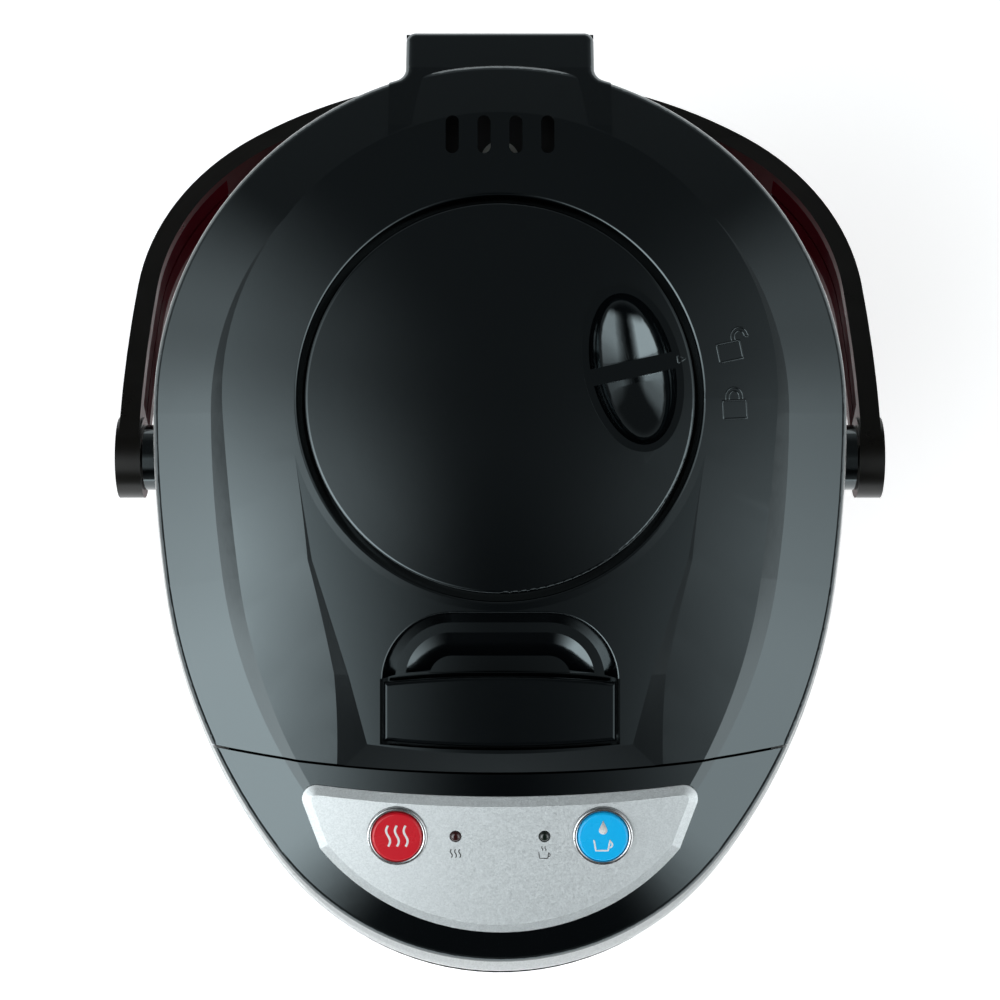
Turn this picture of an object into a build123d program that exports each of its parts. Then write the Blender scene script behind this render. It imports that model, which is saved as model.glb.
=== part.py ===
from math import asin, cos, dist, radians, sin, sqrt
import os

from build123d import *

os.makedirs("parts", exist_ok=True)

# ---------------------------------------------------------------- driving dimensions
# Millimetres. The body axis is the Z axis, the floor is z = 0, the spout side is -Y.

GAP = 0.3  # between pieces that move past each other
RUNNING = 0.05  # radial clearance of a pin in its bore

# levels, from the floor up
FOOT_Z = 3.0
BASE_Z = 38.0
CASE_Z = 206.0
DECK_Z = 243.0
SHOULDER_Z = 254.0
EDGE_Z = 262.0
LIP_Z = 272.5
CROWN_Z = 290.0

# body
CASE_R = 99.0
CASE_WALL = 1.0
COLLAR_R = 99.6

# plan outline of the head: half circle behind, three tangent arcs a side in front
HEAD_HALF = 107.7
SIDE_EXTRA = 295.2
FLANK_R = 175.0
SIDE_ANGLE = 7.68
FLANK_ANGLE = 37.7
RING_HALF = 109.0
RING_FLANK_R = 181.8
SHOULDER_HALF = 108.6
SHOULDER_FLANK_R = 186.8
HEAD_WALL = 2.6
RIM_INSET = 4.0

# crown facets
LIP_TILT = 2.2
LIP_R = 3.0
BAND_INSET = 19.0
BAND_Z = 281.9
BAND_TILT = 3.05
BAND_RISE = 10.0
BAND_RUN = 12.0
DOME_R = 750.0

# split between lid and head
SPLIT_R = 540.0
SPLIT_Y = -110.6
SPLIT_CENTRE_Y = SPLIT_Y + SPLIT_R
SPLIT_GAP = 0.8

# lid and hinge
LID_Z = EDGE_Z + GAP
HINGE_Y = 113.0
HINGE_Z = 253.0
CHEEK_R = 5.8
KNUCKLE_R = 5.0
BLOCK_HALF = 29.2
BLOCK_BACK_Y = 118.8
CHEEK_IN = 24.9
HINGE_PIN_R = 2.0

# press disk
DISK_R = 59.7
DISK_Y = 4.3
DISK_GAP = 2.2
POCKET_Z = 265.0
HUB_R = 12.0
PRESS_TRAVEL = 12.0
DIMPLE_ANGLE = 12.3
DIMPLE_REACH = 41.3
DIMPLE_RADIAL = 12.75
DIMPLE_TANGENT = 23.4
DIMPLE_DEPTH = 9.0
DIMPLE_BAR = 5.2

# latch
WELL_HALF = 37.0
WELL_BACK_Y = -60.0
WELL_CORNER_R = 22.0
WELL_FLOOR_Z = 274.2
WELL_SLOPE = 4.6
BOWL_INSET = 7.0
BOWL_SLOPE = 8.0
BOWL_FLOOR_Z = 272.0
BOWL_FRONT_Y = -80.2
WELL_FRONT_Y = -95.0
NOTCH_GAP = 1.1
FLAP_HALF = 35.5
FLAP_FRONT_Y = -100.1
FLAP_BACK_Y = -82.3
FLAP_SAG = 1.8
FLAP_TOP_Z = 287.2
FLAP_DEPTH = 4.8
LATCH_Y = -97.4
LATCH_Z = 284.0
LATCH_PIN_R = 1.0
LATCH_EAR_R = 1.9
ARM_REACH = 15.3
BOLT_HALF = 6.0
BOLT_TIP_Y = -109.9
BOLT_LOW_Z = 263.9
BOLT_HIGH_Z = 269.6

# control panel, on a plane that falls with the crown
PANEL_Y = -137.5
PANEL_FALL = asin((DISK_Y - PANEL_Y) / DOME_R)
PANEL_Z = CROWN_Z - DOME_R * (1 - cos(PANEL_FALL))
PANEL_PROUD = 1.2
PANEL_SEAT = 3.8
BUTTON_X = 31.7
BUTTON_V = 7.6
BUTTON_R = 7.8
BEZEL_R = 9.3
LED_X = 13.7
LED_R = 1.75

# handle
PIVOT_Y = -13.0
PIVOT_Z = 240.0
PIVOT_PIN_R = 4.0
BOSS_R = 10.5
BOSS_FACE = 113.9
HANDLE_DROP = 29.5
HANDLE_HALF = 121.3
HANDLE_THICK = 6.4
HANDLE_WIDTH = 26.0
HANDLE_BACK_WIDTH = 21.0
HANDLE_SIDE_R = 600.0
HANDLE_CORNER_R = 84.0
HANDLE_SIDE_ANGLE = 5.0
HANDLE_CORNER_ANGLE = 56.0
HANDLE_STRAIGHT = 6.5

# water system
POT_R = 79.0
POT_WALL = 1.0
POT_FLOOR_Z = 87.0
POT_RIM_R = 90.0
POT_RIM_Z = 246.0
PUMP_Y = -56.0
RISER_Y = -88.5
SPOUT_Y = -136.0
GAUGE_LOW_Z = 66.0
GAUGE_HIGH_Z = 184.0
INLET_Z = 20.0


# ---------------------------------------------------------------- shared geometry
def tangent_arcs(half, side_r, flank_r, side_angle, flank_angle, inset):
    """Arcs (centre, radius, start angle, sweep) from the right side, clockwise, to the left."""
    a1 = radians(side_angle)
    a2 = radians(flank_angle)
    side_x = half - side_r
    flank_x = side_x + (side_r - flank_r) * cos(a1)
    flank_y = -(side_r - flank_r) * sin(a1)
    tip_r = flank_r + flank_x / cos(a2)
    tip_y = flank_y - (flank_r - tip_r) * sin(a2)
    return [
        ((side_x, 0), side_r - inset, 0, -side_angle),
        ((flank_x, flank_y), flank_r - inset, -side_angle, side_angle - flank_angle),
        ((0, tip_y), tip_r - inset, -flank_angle, 2 * flank_angle - 180),
        ((-flank_x, flank_y), flank_r - inset, flank_angle - 180, side_angle - flank_angle),
        ((-side_x, 0), side_r - inset, side_angle - 180, -side_angle),
    ]


def head_outline(half=HEAD_HALF, flank_r=FLANK_R, inset=0.0, bulge=1.0):
    """The head's plan outline as a sketch; bulge 0 is a plain circle."""
    side_r = half + bulge * SIDE_EXTRA
    flank = half + bulge * (flank_r - half)
    arcs = tangent_arcs(half, side_r, flank, SIDE_ANGLE, FLANK_ANGLE, inset)
    with BuildSketch(Plane.XY, mode=Mode.PRIVATE) as outline:
        with BuildLine():
            CenterArc((0, 0), half - inset, 0, 180)
            for centre, radius, start, sweep_angle in arcs:
                CenterArc(centre, radius, start, sweep_angle)
        make_face()
    return outline.sketch


def tilted(z, angle):
    """A level plane at height z on the axis that rises towards the back by an angle."""
    return Plane((0, 0, z), x_dir=(1, 0, 0), z_dir=(0, -sin(radians(angle)), cos(radians(angle))))


def dome_height(radius):
    """Height of the crown's dome at a distance from the disk's axis."""
    return CROWN_Z - DOME_R + sqrt(DOME_R * DOME_R - radius * radius)


def crown(inset=0.0, drop=0.0, low_z=LID_Z):
    """Faceted top of lid and head in one piece, before it is split and hollowed."""
    lip = tilted(LIP_Z - drop, LIP_TILT)
    with BuildPart() as form:
        with BuildSketch(Plane.XY.offset(low_z)):
            add(head_outline(inset=inset))
        with BuildSketch(lip):
            add(head_outline(inset=inset))
        # the band is the steep facet above this section; it fades where the dome dips to it
        with BuildSketch(tilted(BAND_Z - drop, BAND_TILT)):
            add(head_outline(inset=BAND_INSET + inset))
        with BuildSketch(tilted(BAND_Z + BAND_RISE - drop, BAND_TILT)):
            add(head_outline(inset=BAND_INSET + BAND_RUN + inset))
        loft(ruled=True)
        with Locations((0, DISK_Y, CROWN_Z - drop - DOME_R)):
            Sphere(DOME_R, mode=Mode.INTERSECT)
        on_lip = form.edges().filter_by(lambda e: abs(lip.to_local_coords(e.center()).Z) < 0.01)
        fillet(on_lip, LIP_R)
    return form.part


def split_disc(radius, low_z, high_z):
    """Everything behind the split line, as a disc of the given radius."""
    with BuildPart() as disc:
        with BuildSketch(Plane.XY.offset(low_z)):
            with Locations((0, SPLIT_CENTRE_Y)):
                Circle(radius)
        extrude(amount=high_z - low_z)
    return disc.part


def x_cylinder(radius, x0, x1, y, z):
    """Solid cylinder along X."""
    with BuildPart() as rod:
        with BuildSketch(Plane.YZ.offset(x0)):
            with Locations((y, z)):
                Circle(radius)
        extrude(amount=x1 - x0)
    return rod.part


def z_cylinder(radius, x, y, z0, z1):
    """Solid cylinder along Z."""
    with BuildPart() as rod:
        with BuildSketch(Plane.XY.offset(z0)):
            with Locations((x, y)):
                Circle(radius)
        extrude(amount=z1 - z0)
    return rod.part


def block(x0, x1, y0, y1, z0, z1):
    """Solid box between two corners."""
    with BuildPart() as box:
        with Locations(((x0 + x1) / 2, (y0 + y1) / 2, (z0 + z1) / 2)):
            Box(x1 - x0, y1 - y0, z1 - z0)
    return box.part


def pipe(points, bend, outer_r, inner_r):
    """Bent pipe through the points with rounded corners; inner_r 0 gives a solid rod."""
    with BuildPart() as tube:
        with BuildLine() as path:
            FilletPolyline(*points, radius=bend)
        with BuildSketch(Plane(path.line @ 0, z_dir=path.line % 0)):
            Circle(outer_r)
            if inner_r > 0:
                Circle(inner_r, mode=Mode.SUBTRACT)
        sweep()
    return tube.part


def coil(radius, wire_r, z0, z1, turns):
    """Helical spring standing on z0."""
    low = z0 + wire_r
    height = z1 - z0 - 2 * wire_r
    with BuildPart() as spring:
        with BuildLine() as path:
            Helix(pitch=height / turns, height=height, radius=radius, center=(0, DISK_Y, low))
        with BuildSketch(Plane(path.line @ 0, z_dir=path.line % 0)):
            Circle(wire_r)
        sweep(is_frenet=True)
    return spring.part


finished = []


def keep(part, name):
    """Names a piece and writes its file."""
    part.label = name
    export_step(part, f"parts/{name}.step")
    finished.append(name)


# ---------------------------------------------------------------- base
INLET_HALF_W = 14.0
INLET_HALF_H = 10.0
INLET_FACE_Y = 101.2
COVER_R = 91.6
SCREW_R = 88.0

with BuildPart() as base_housing:
    with BuildSketch(Plane.XZ):
        with BuildLine():
            Polyline(
                (84, 5.6),
                (COVER_R + GAP, 5.6),
                (COVER_R + GAP, FOOT_Z),
                (COVER_R + 2.9, FOOT_Z),
                (COVER_R + 6, 7),
                (COLLAR_R + 0.4, BASE_Z - 3),
                (COLLAR_R + 0.4, BASE_Z),
                (CASE_R - CASE_WALL - 0.2, BASE_Z),
                (CASE_R - CASE_WALL - 0.2, BASE_Z + 6),
                (COVER_R + 4, BASE_Z + 6),
                (COVER_R + 4, BASE_Z - 3),
                (COVER_R + 2.8, 8.2),
                (84, 8.2),
                close=True,
            )
        make_face()
    revolve(axis=Axis.Z)
    # flat surround for the power inlet
    with BuildSketch(Plane.XZ.offset(-INLET_FACE_Y)):
        with Locations((0, INLET_Z)):
            RectangleRounded(2 * INLET_HALF_W + 12, 2 * INLET_HALF_H + 6, 4)
    extrude(amount=10)
    with BuildSketch(Plane.XZ.offset(-INLET_FACE_Y - 1)):
        with Locations((0, INLET_Z)):
            Rectangle(2 * INLET_HALF_W, 2 * INLET_HALF_H)
    extrude(amount=20, mode=Mode.SUBTRACT)
    with BuildSketch(Plane.XY.offset(5)):
        with PolarLocations(SCREW_R, 3, start_angle=30):
            Circle(1.6)
    extrude(amount=4, mode=Mode.SUBTRACT)
keep(base_housing.part, "base_housing")

BOARD_X = 35.0
BOARD_Y0 = 30.0
BOARD_Y1 = 76.0
BOARD_Z = 20.0

with BuildPart() as base_cover:
    with BuildSketch(Plane.XY.offset(FOOT_Z)):
        Circle(COVER_R)
        with PolarLocations(SCREW_R, 3, start_angle=30):
            Circle(1.6, mode=Mode.SUBTRACT)
        with GridLocations(9, 0, 7, 1):
            SlotOverall(36, 3.2, rotation=90, mode=Mode.SUBTRACT)
    extrude(amount=2.6)
    # posts that carry the power board and the pump motor
    with BuildSketch(Plane.XY.offset(5.6)):
        with Locations((0, (BOARD_Y0 + BOARD_Y1) / 2)):
            with GridLocations(2 * BOARD_X - 10, BOARD_Y1 - BOARD_Y0 - 10, 2, 2):
                Circle(3)
    extrude(amount=BOARD_Z - 5.6)
    with BuildSketch(Plane.XY.offset(5.6)):
        with Locations((0, PUMP_Y)):
            Circle(18)
            Circle(12, mode=Mode.SUBTRACT)
    extrude(amount=14.4)
keep(base_cover.part, "base_cover")

with BuildPart() as foot_ring:
    with BuildSketch(Plane.XZ):
        with Locations((78, FOOT_Z / 2)):
            Rectangle(10, FOOT_Z)
    revolve(axis=Axis.Z)
    chamfer(foot_ring.edges().group_by(Axis.Z)[0], 0.6)
keep(foot_ring.part, "foot_ring")

with BuildPart() as base_screws:
    with BuildSketch(Plane.XY.offset(FOOT_Z - 1.8)):
        with PolarLocations(SCREW_R, 3, start_angle=30):
            Circle(3.2)
    extrude(amount=1.8)
    with BuildSketch(Plane.XY.offset(FOOT_Z)):
        with PolarLocations(SCREW_R, 3, start_angle=30):
            Circle(1.5)
    extrude(amount=7)
keep(base_screws.part, "base_screws")

with BuildPart() as power_inlet:
    with BuildSketch(Plane.XZ.offset(-INLET_FACE_Y)):
        with Locations((0, INLET_Z)):
            Rectangle(2 * INLET_HALF_W - 0.2, 2 * INLET_HALF_H - 0.2)
    extrude(amount=22)
    with BuildSketch(Plane.XZ.offset(-INLET_FACE_Y)):
        with BuildLine():
            Polyline(
                (-12, INLET_Z - 8),
                (12, INLET_Z - 8),
                (12, INLET_Z + 4),
                (8, INLET_Z + 8),
                (-8, INLET_Z + 8),
                (-12, INLET_Z + 4),
                close=True,
            )
        make_face()
    extrude(amount=16, mode=Mode.SUBTRACT)
keep(power_inlet.part, "power_inlet")

with BuildPart() as inlet_pins:
    with BuildSketch(Plane.XZ.offset(16 - INLET_FACE_Y)):
        with Locations((-7, INLET_Z - 1.5), (7, INLET_Z - 1.5), (0, INLET_Z + 2.5)):
            Rectangle(2, 4)
    extrude(amount=-11)
keep(inlet_pins.part, "inlet_pins")

with BuildPart() as power_board:
    with BuildSketch(Plane.XY.offset(BOARD_Z)):
        with Locations((0, (BOARD_Y0 + BOARD_Y1) / 2)):
            Rectangle(2 * BOARD_X, BOARD_Y1 - BOARD_Y0)
    extrude(amount=1.6)
    with BuildSketch(Plane.XY.offset(BOARD_Z + 1.6)):
        with Locations((-18, 55)):
            Rectangle(28, 24)
    extrude(amount=20)
    with BuildSketch(Plane.XY.offset(BOARD_Z + 1.6)):
        with Locations((16, 44)):
            Rectangle(19, 15)
    extrude(amount=15)
    with BuildSketch(Plane.XY.offset(BOARD_Z + 1.6)):
        with Locations((10, 63), (22, 63)):
            Circle(4.5)
    extrude(amount=13)
keep(power_board.part, "power_board")

# ---------------------------------------------------------------- outer case and gauge
GAUGE_MID = (GAUGE_LOW_Z + GAUGE_HIGH_Z) / 2
GAUGE_LENGTH = GAUGE_HIGH_Z - GAUGE_LOW_Z

with BuildPart() as outer_case:
    with BuildSketch(Plane.XY.offset(BASE_Z)):
        Circle(CASE_R)
        Circle(CASE_R - CASE_WALL, mode=Mode.SUBTRACT)
    extrude(amount=CASE_Z - BASE_Z)
    with BuildSketch(Plane.XZ.offset(90)):
        with Locations((0, GAUGE_MID)):
            SlotOverall(GAUGE_LENGTH, 16, rotation=90)
    extrude(amount=30, mode=Mode.SUBTRACT)
keep(outer_case.part, "outer_case")

with BuildPart() as gauge_window:
    with BuildSketch(Plane.XY.offset(GAUGE_LOW_Z - 5)):
        Circle(CASE_R - CASE_WALL)
        Circle(CASE_R - CASE_WALL - 1.6, mode=Mode.SUBTRACT)
    extrude(amount=GAUGE_LENGTH + 10)
    with BuildSketch(Plane.XZ.offset(90)):
        with Locations((0, GAUGE_MID)):
            SlotOverall(GAUGE_LENGTH + 8, 24, rotation=90)
    extrude(amount=30, mode=Mode.INTERSECT)
with BuildPart() as gauge_lens:
    with BuildSketch(Plane.XY.offset(GAUGE_LOW_Z - 5)):
        Circle(CASE_R + 0.8)
        Circle(CASE_R - CASE_WALL - 1.6, mode=Mode.SUBTRACT)
    extrude(amount=GAUGE_LENGTH + 10)
    with BuildSketch(Plane.XZ.offset(90)):
        with Locations((0, GAUGE_MID)):
            SlotOverall(GAUGE_LENGTH - 0.2, 15.8, rotation=90)
    extrude(amount=30, mode=Mode.INTERSECT)
keep(gauge_window.part + gauge_lens.part, "gauge_window")

# ---------------------------------------------------------------- shoulder housing
def hull(half, flank_r, inset, lift, stops):
    """Body that swells from the round case to the egg-shaped head along a quarter ellipse."""
    rise = SHOULDER_Z - CASE_Z
    with BuildPart() as form:
        for bulge in stops:
            z = SHOULDER_Z - rise * sqrt(1 - bulge * bulge)
            width = COLLAR_R + bulge * (half - COLLAR_R)
            with BuildSketch(Plane.XY.offset(z + lift)):
                add(head_outline(width, flank_r, inset, bulge))
        loft()
    return form.part


STOPS = (0.0, 0.35, 0.65, 0.88, 1.0)
ROOM_STOPS = (0.0, 0.35, 0.65, 0.88, 0.97)
SPOUT_SEAT_Z = 223.0

shoulder_form = hull(SHOULDER_HALF, SHOULDER_FLANK_R, 0.0, 0.0, STOPS)
spout_boss = shoulder_form & z_cylinder(12.5, 0, SPOUT_Y, CASE_Z - 1, SPOUT_SEAT_Z)

with BuildPart() as shoulder_housing:
    add(shoulder_form)
    # lower room, and the rim above the deck ledge
    add(hull(SHOULDER_HALF, SHOULDER_FLANK_R, 5.5, 3.0, ROOM_STOPS), mode=Mode.SUBTRACT)
    with BuildSketch(Plane.XY.offset(CASE_Z)):
        Circle(COLLAR_R - 5)
    extrude(amount=DECK_Z - CASE_Z, mode=Mode.SUBTRACT)
    with BuildSketch(Plane.XY.offset(DECK_Z)):
        add(head_outline(inset=RIM_INSET))
    extrude(amount=20, mode=Mode.SUBTRACT)
    # bosses for the handle
    for side in (-1, 1):
        add(x_cylinder(BOSS_R, side * 104.2, side * BOSS_FACE, PIVOT_Y, PIVOT_Z))
        add(
            x_cylinder(PIVOT_PIN_R, side * 106, side * (BOSS_FACE + 1), PIVOT_Y, PIVOT_Z),
            mode=Mode.SUBTRACT,
        )
    # hinge lug with its knuckle
    with BuildSketch(Plane.YZ):
        with BuildLine():
            Polyline(
                (105.6, 218),
                (112, 220),
                (118.3, 230),
                (118.3, 246.6),
                (105.6, 246.6),
                close=True,
            )
        make_face()
    extrude(amount=BLOCK_HALF, both=True)
    with BuildSketch(Plane.YZ):
        with Locations((HINGE_Y, HINGE_Z)):
            Circle(KNUCKLE_R)
        with Locations((HINGE_Y, HINGE_Z - 4)):
            Rectangle(2 * KNUCKLE_R, 8)
    extrude(amount=CHEEK_IN - GAP, both=True)
    add(x_cylinder(HINGE_PIN_R, -40, 40, HINGE_Y, HINGE_Z), mode=Mode.SUBTRACT)
    # seat and hole for the spout
    add(spout_boss)
    add(z_cylinder(8.6, 0, SPOUT_Y, CASE_Z - 5, SPOUT_SEAT_Z + 5), mode=Mode.SUBTRACT)
keep(shoulder_housing.part, "shoulder_housing")

with BuildPart() as hinge_pin:
    add(x_cylinder(HINGE_PIN_R, -BLOCK_HALF + 0.4, BLOCK_HALF - 0.4, HINGE_Y, HINGE_Z))
keep(hinge_pin.part, "hinge_pin")

with BuildPart() as handle_pins:
    for side in (-1, 1):
        add(x_cylinder(PIVOT_PIN_R, side * 106, side * 119.4, PIVOT_Y, PIVOT_Z))
keep(handle_pins.part, "handle_pins")

with BuildPart() as trim_ring:
    with BuildSketch(Plane.XY.offset(SHOULDER_Z)):
        add(head_outline(RING_HALF, RING_FLANK_R))
    extrude(amount=EDGE_Z - SHOULDER_Z)
    fillet(trim_ring.edges().group_by(Axis.Z)[-1], 1.2)
    with BuildSketch(Plane.XY.offset(SHOULDER_Z)):
        add(head_outline(inset=RIM_INSET))
    extrude(amount=20, mode=Mode.SUBTRACT)
    add(block(-40, 40, 106.6, 120, SHOULDER_Z - 1, EDGE_Z + 1), mode=Mode.SUBTRACT)
keep(trim_ring.part, "trim_ring")

with BuildPart() as pot_collar:
    with BuildSketch(Plane.XY.offset(DECK_Z)):
        add(head_outline(inset=RIM_INSET + 0.4))
        Circle(POT_R + POT_WALL + 0.4, mode=Mode.SUBTRACT)
    extrude(amount=POT_RIM_Z - DECK_Z)
keep(pot_collar.part, "pot_collar")

# ---------------------------------------------------------------- water system
with BuildPart() as inner_pot:
    with BuildSketch(Plane.XZ):
        with BuildLine():
            Polyline(
                (0, POT_FLOOR_Z),
                (POT_R + POT_WALL - 3, POT_FLOOR_Z),
                (POT_R + POT_WALL, POT_FLOOR_Z + 3),
                (POT_R + POT_WALL, POT_RIM_Z),
                (POT_RIM_R, POT_RIM_Z),
                (POT_RIM_R, POT_RIM_Z + POT_WALL),
                (POT_R, POT_RIM_Z + POT_WALL),
                (POT_R, POT_FLOOR_Z + 3.4),
                (POT_R + POT_WALL - 3.4, POT_FLOOR_Z + POT_WALL),
                (0, POT_FLOOR_Z + POT_WALL),
                close=True,
            )
        make_face()
    revolve(axis=Axis.Z)
    add(z_cylinder(4, 0, PUMP_Y, POT_FLOOR_Z - 5, POT_FLOOR_Z + 5), mode=Mode.SUBTRACT)
keep(inner_pot.part, "inner_pot")

HEATER_R = 48.0
HEATER_Z = 81.0

with BuildPart() as heater_plate:
    with BuildSketch(Plane.XY.offset(HEATER_Z)):
        Circle(HEATER_R)
    extrude(amount=POT_FLOOR_Z - HEATER_Z)
    with BuildSketch(Plane.XZ):
        with Locations((38, HEATER_Z)):
            Circle(4)
    revolve(axis=Axis.Z)
keep(heater_plate.part, "heater_plate")

with BuildPart() as keep_warm_band:
    with BuildSketch(Plane.XY.offset(105)):
        Circle(POT_R + POT_WALL + 1.4)
        Circle(POT_R + POT_WALL, mode=Mode.SUBTRACT)
    extrude(amount=32)
keep(keep_warm_band.part, "keep_warm_band")

with BuildPart() as thermostats:
    with BuildSketch(Plane.XY.offset(HEATER_Z)):
        with Locations((-16, 12), (16, 12)):
            Circle(7.5)
    extrude(amount=-8)
keep(thermostats.part, "thermostats")

PUMP_LOW_Z = 50.0
PUMP_HIGH_Z = 68.0
OUTLET_Z = 58.0
ROTOR_SHAFT_R = 1.5

with BuildPart() as pump_housing:
    add(z_cylinder(20, 0, PUMP_Y, PUMP_LOW_Z, PUMP_HIGH_Z))
    with BuildSketch(Plane.XZ.offset(70)):
        with Locations((0, OUTLET_Z)):
            Circle(4)
    extrude(amount=10)
    add(z_cylinder(16.5, 0, PUMP_Y, PUMP_LOW_Z + 2.5, PUMP_HIGH_Z - 2.5), mode=Mode.SUBTRACT)
    add(z_cylinder(4, 0, PUMP_Y, PUMP_HIGH_Z - 5, PUMP_HIGH_Z + 1), mode=Mode.SUBTRACT)
    with BuildSketch(Plane.XZ.offset(65)):
        with Locations((0, OUTLET_Z)):
            Circle(2.8)
    extrude(amount=20, mode=Mode.SUBTRACT)
    add(z_cylinder(ROTOR_SHAFT_R, 0, PUMP_Y, PUMP_LOW_Z + 1, PUMP_LOW_Z + 11))
keep(pump_housing.part, "pump_housing")

with BuildPart() as pump_rotor:
    add(z_cylinder(15.5, 0, PUMP_Y, PUMP_LOW_Z + 3, PUMP_LOW_Z + 5))
    add(z_cylinder(4, 0, PUMP_Y, PUMP_LOW_Z + 3, PUMP_LOW_Z + 10))
    with BuildSketch(Plane.XY.offset(PUMP_LOW_Z + 5)):
        with Locations((0, PUMP_Y)):
            with PolarLocations(9.2, 6):
                Rectangle(12.4, 1.6, rotation=25)
    extrude(amount=5)
    add(
        z_cylinder(ROTOR_SHAFT_R + RUNNING, 0, PUMP_Y, PUMP_LOW_Z, PUMP_LOW_Z + 12),
        mode=Mode.SUBTRACT,
    )
keep(pump_rotor.part, "pump_rotor")

with BuildPart() as pump_motor:
    add(z_cylinder(16, 0, PUMP_Y, 20, PUMP_LOW_Z))
    with BuildSketch(Plane.XY.offset(20)):
        with Locations((0, PUMP_Y)):
            Circle(5)
    extrude(amount=-4)
keep(pump_motor.part, "pump_motor")

with BuildPart() as suction_tube:
    with BuildSketch(Plane.XY.offset(PUMP_HIGH_Z)):
        with Locations((0, PUMP_Y)):
            Circle(6.5)
            Circle(4, mode=Mode.SUBTRACT)
    extrude(amount=POT_FLOOR_Z - PUMP_HIGH_Z)
keep(suction_tube.part, "suction_tube")

HOSE_R = 5.6
TUBE_R = 4.0

with BuildPart() as feed_hose:
    add(
        pipe(
            ((0, -76.2, OUTLET_Z), (0, RISER_Y, OUTLET_Z), (0, RISER_Y, 80)),
            8,
            HOSE_R,
            TUBE_R,
        )
    )
keep(feed_hose.part, "feed_hose")

with BuildPart() as riser_tube:
    with BuildSketch(Plane.XY.offset(72)):
        with Locations((0, RISER_Y)):
            Circle(TUBE_R)
            Circle(TUBE_R - 1, mode=Mode.SUBTRACT)
    extrude(amount=138)
keep(riser_tube.part, "riser_tube")

with BuildPart() as outlet_hose:
    add(
        pipe(
            (
                (0, RISER_Y, 200),
                (0, RISER_Y, 236.5),
                (0, SPOUT_Y, 236.5),
                (0, SPOUT_Y, 225),
            ),
            8,
            HOSE_R,
            TUBE_R,
        )
    )
keep(outlet_hose.part, "outlet_hose")

with BuildPart() as spout:
    with BuildSketch(Plane.XY.offset(202)):
        with Locations((0, SPOUT_Y)):
            Circle(7.4)
    extrude(amount=SPOUT_SEAT_Z - 202, taper=-2)
    # collar that hangs the spout on its seat, and the nipple for the hose
    with BuildSketch(Plane.XY.offset(SPOUT_SEAT_Z)):
        with Locations((0, SPOUT_Y)):
            Circle(11)
    extrude(amount=1.5)
    with BuildSketch(Plane.XY.offset(SPOUT_SEAT_Z)):
        with Locations((0, SPOUT_Y)):
            Circle(TUBE_R)
    extrude(amount=5.4)
    add(z_cylinder(3, 0, SPOUT_Y, 199, 230), mode=Mode.SUBTRACT)
keep(spout.part, "spout")

# ---------------------------------------------------------------- head top and control panel
PANEL = Plane(
    (0, PANEL_Y, PANEL_Z),
    x_dir=(1, 0, 0),
    z_dir=(0, -sin(PANEL_FALL), cos(PANEL_FALL)),
)
PANEL_AXIS = Axis((0, 0, 0), PANEL.z_dir)
PANEL_CORNER_X = 63.2
PANEL_TOP_V = 23.8
PANEL_SAG = 3.9
PANEL_WAIST = (55.6, 2.7)
PANEL_FOOT_V = -23.9


def panel_outline(grow):
    """Shield-shaped outline of the control panel as a sketch."""
    with BuildSketch(Plane.XY, mode=Mode.PRIVATE) as shield:
        with BuildLine():
            top = ThreePointArc(
                (-PANEL_CORNER_X, PANEL_TOP_V),
                (0, PANEL_TOP_V - PANEL_SAG),
                (PANEL_CORNER_X, PANEL_TOP_V),
            )
            right = Line(top @ 1, PANEL_WAIST)
            bottom = ThreePointArc(right @ 1, (0, PANEL_FOOT_V), (-PANEL_WAIST[0], PANEL_WAIST[1]))
            Line(bottom @ 1, top @ 0)
        make_face()
        corners = shield.vertices().group_by(Axis.Y)
        fillet(corners[-1], 4.5)
        fillet(corners[0], 25)
        if grow:
            offset(amount=grow, mode=Mode.REPLACE)
    return shield.sketch


def panel_prism(grow, low, high):
    """Prism of the panel outline between two heights above the panel plane."""
    with BuildPart() as prism:
        with BuildSketch(PANEL.offset(low)):
            add(panel_outline(grow))
        extrude(amount=high - low)
    return prism.part


def on_panel(radius, x, low, high):
    """Round post normal to the panel, on the line of the buttons."""
    with BuildPart() as post:
        with BuildSketch(PANEL.offset(low)):
            with Locations((x, BUTTON_V)):
                Circle(radius)
        extrude(amount=high - low)
    return post.part


with BuildPart() as head_room:
    add(crown(HEAD_WALL, HEAD_WALL, EDGE_Z))
    add(split_disc(SPLIT_R + SPLIT_GAP / 2 + 2.5, EDGE_Z - 1, 300), mode=Mode.SUBTRACT)
    add(panel_prism(3.0, -PANEL_SEAT - 3, 20), mode=Mode.SUBTRACT)

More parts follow.
